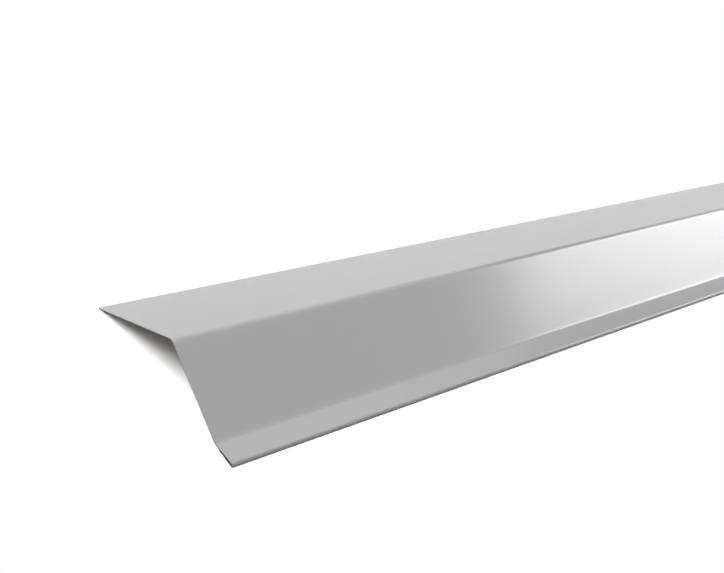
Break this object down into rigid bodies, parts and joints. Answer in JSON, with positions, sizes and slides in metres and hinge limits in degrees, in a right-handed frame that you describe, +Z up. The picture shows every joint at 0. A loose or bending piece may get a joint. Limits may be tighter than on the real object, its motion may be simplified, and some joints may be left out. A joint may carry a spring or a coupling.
{
  "type": "drip edge flashing",
  "caption": "Roof-edge flashing folded from one painted steel sheet: a wide deck flange, a sloping face over the eave and an out-kicked drip lip with its edge hemmed under.",
  "frame": {"origin": "on the floor at the middle of the footprint, with the part lying on its back edge and its hem", "axes": "+X along the length, -Y towards the drip lip, +Z up"},
  "size_m": [2, 0.1834, 0.0292],
  "materials": {
    "coated_steel": "satin"
  },
  "bodies": {
    "root": {"drip_edge": "coated_steel"}
  },
  "joints": []
}
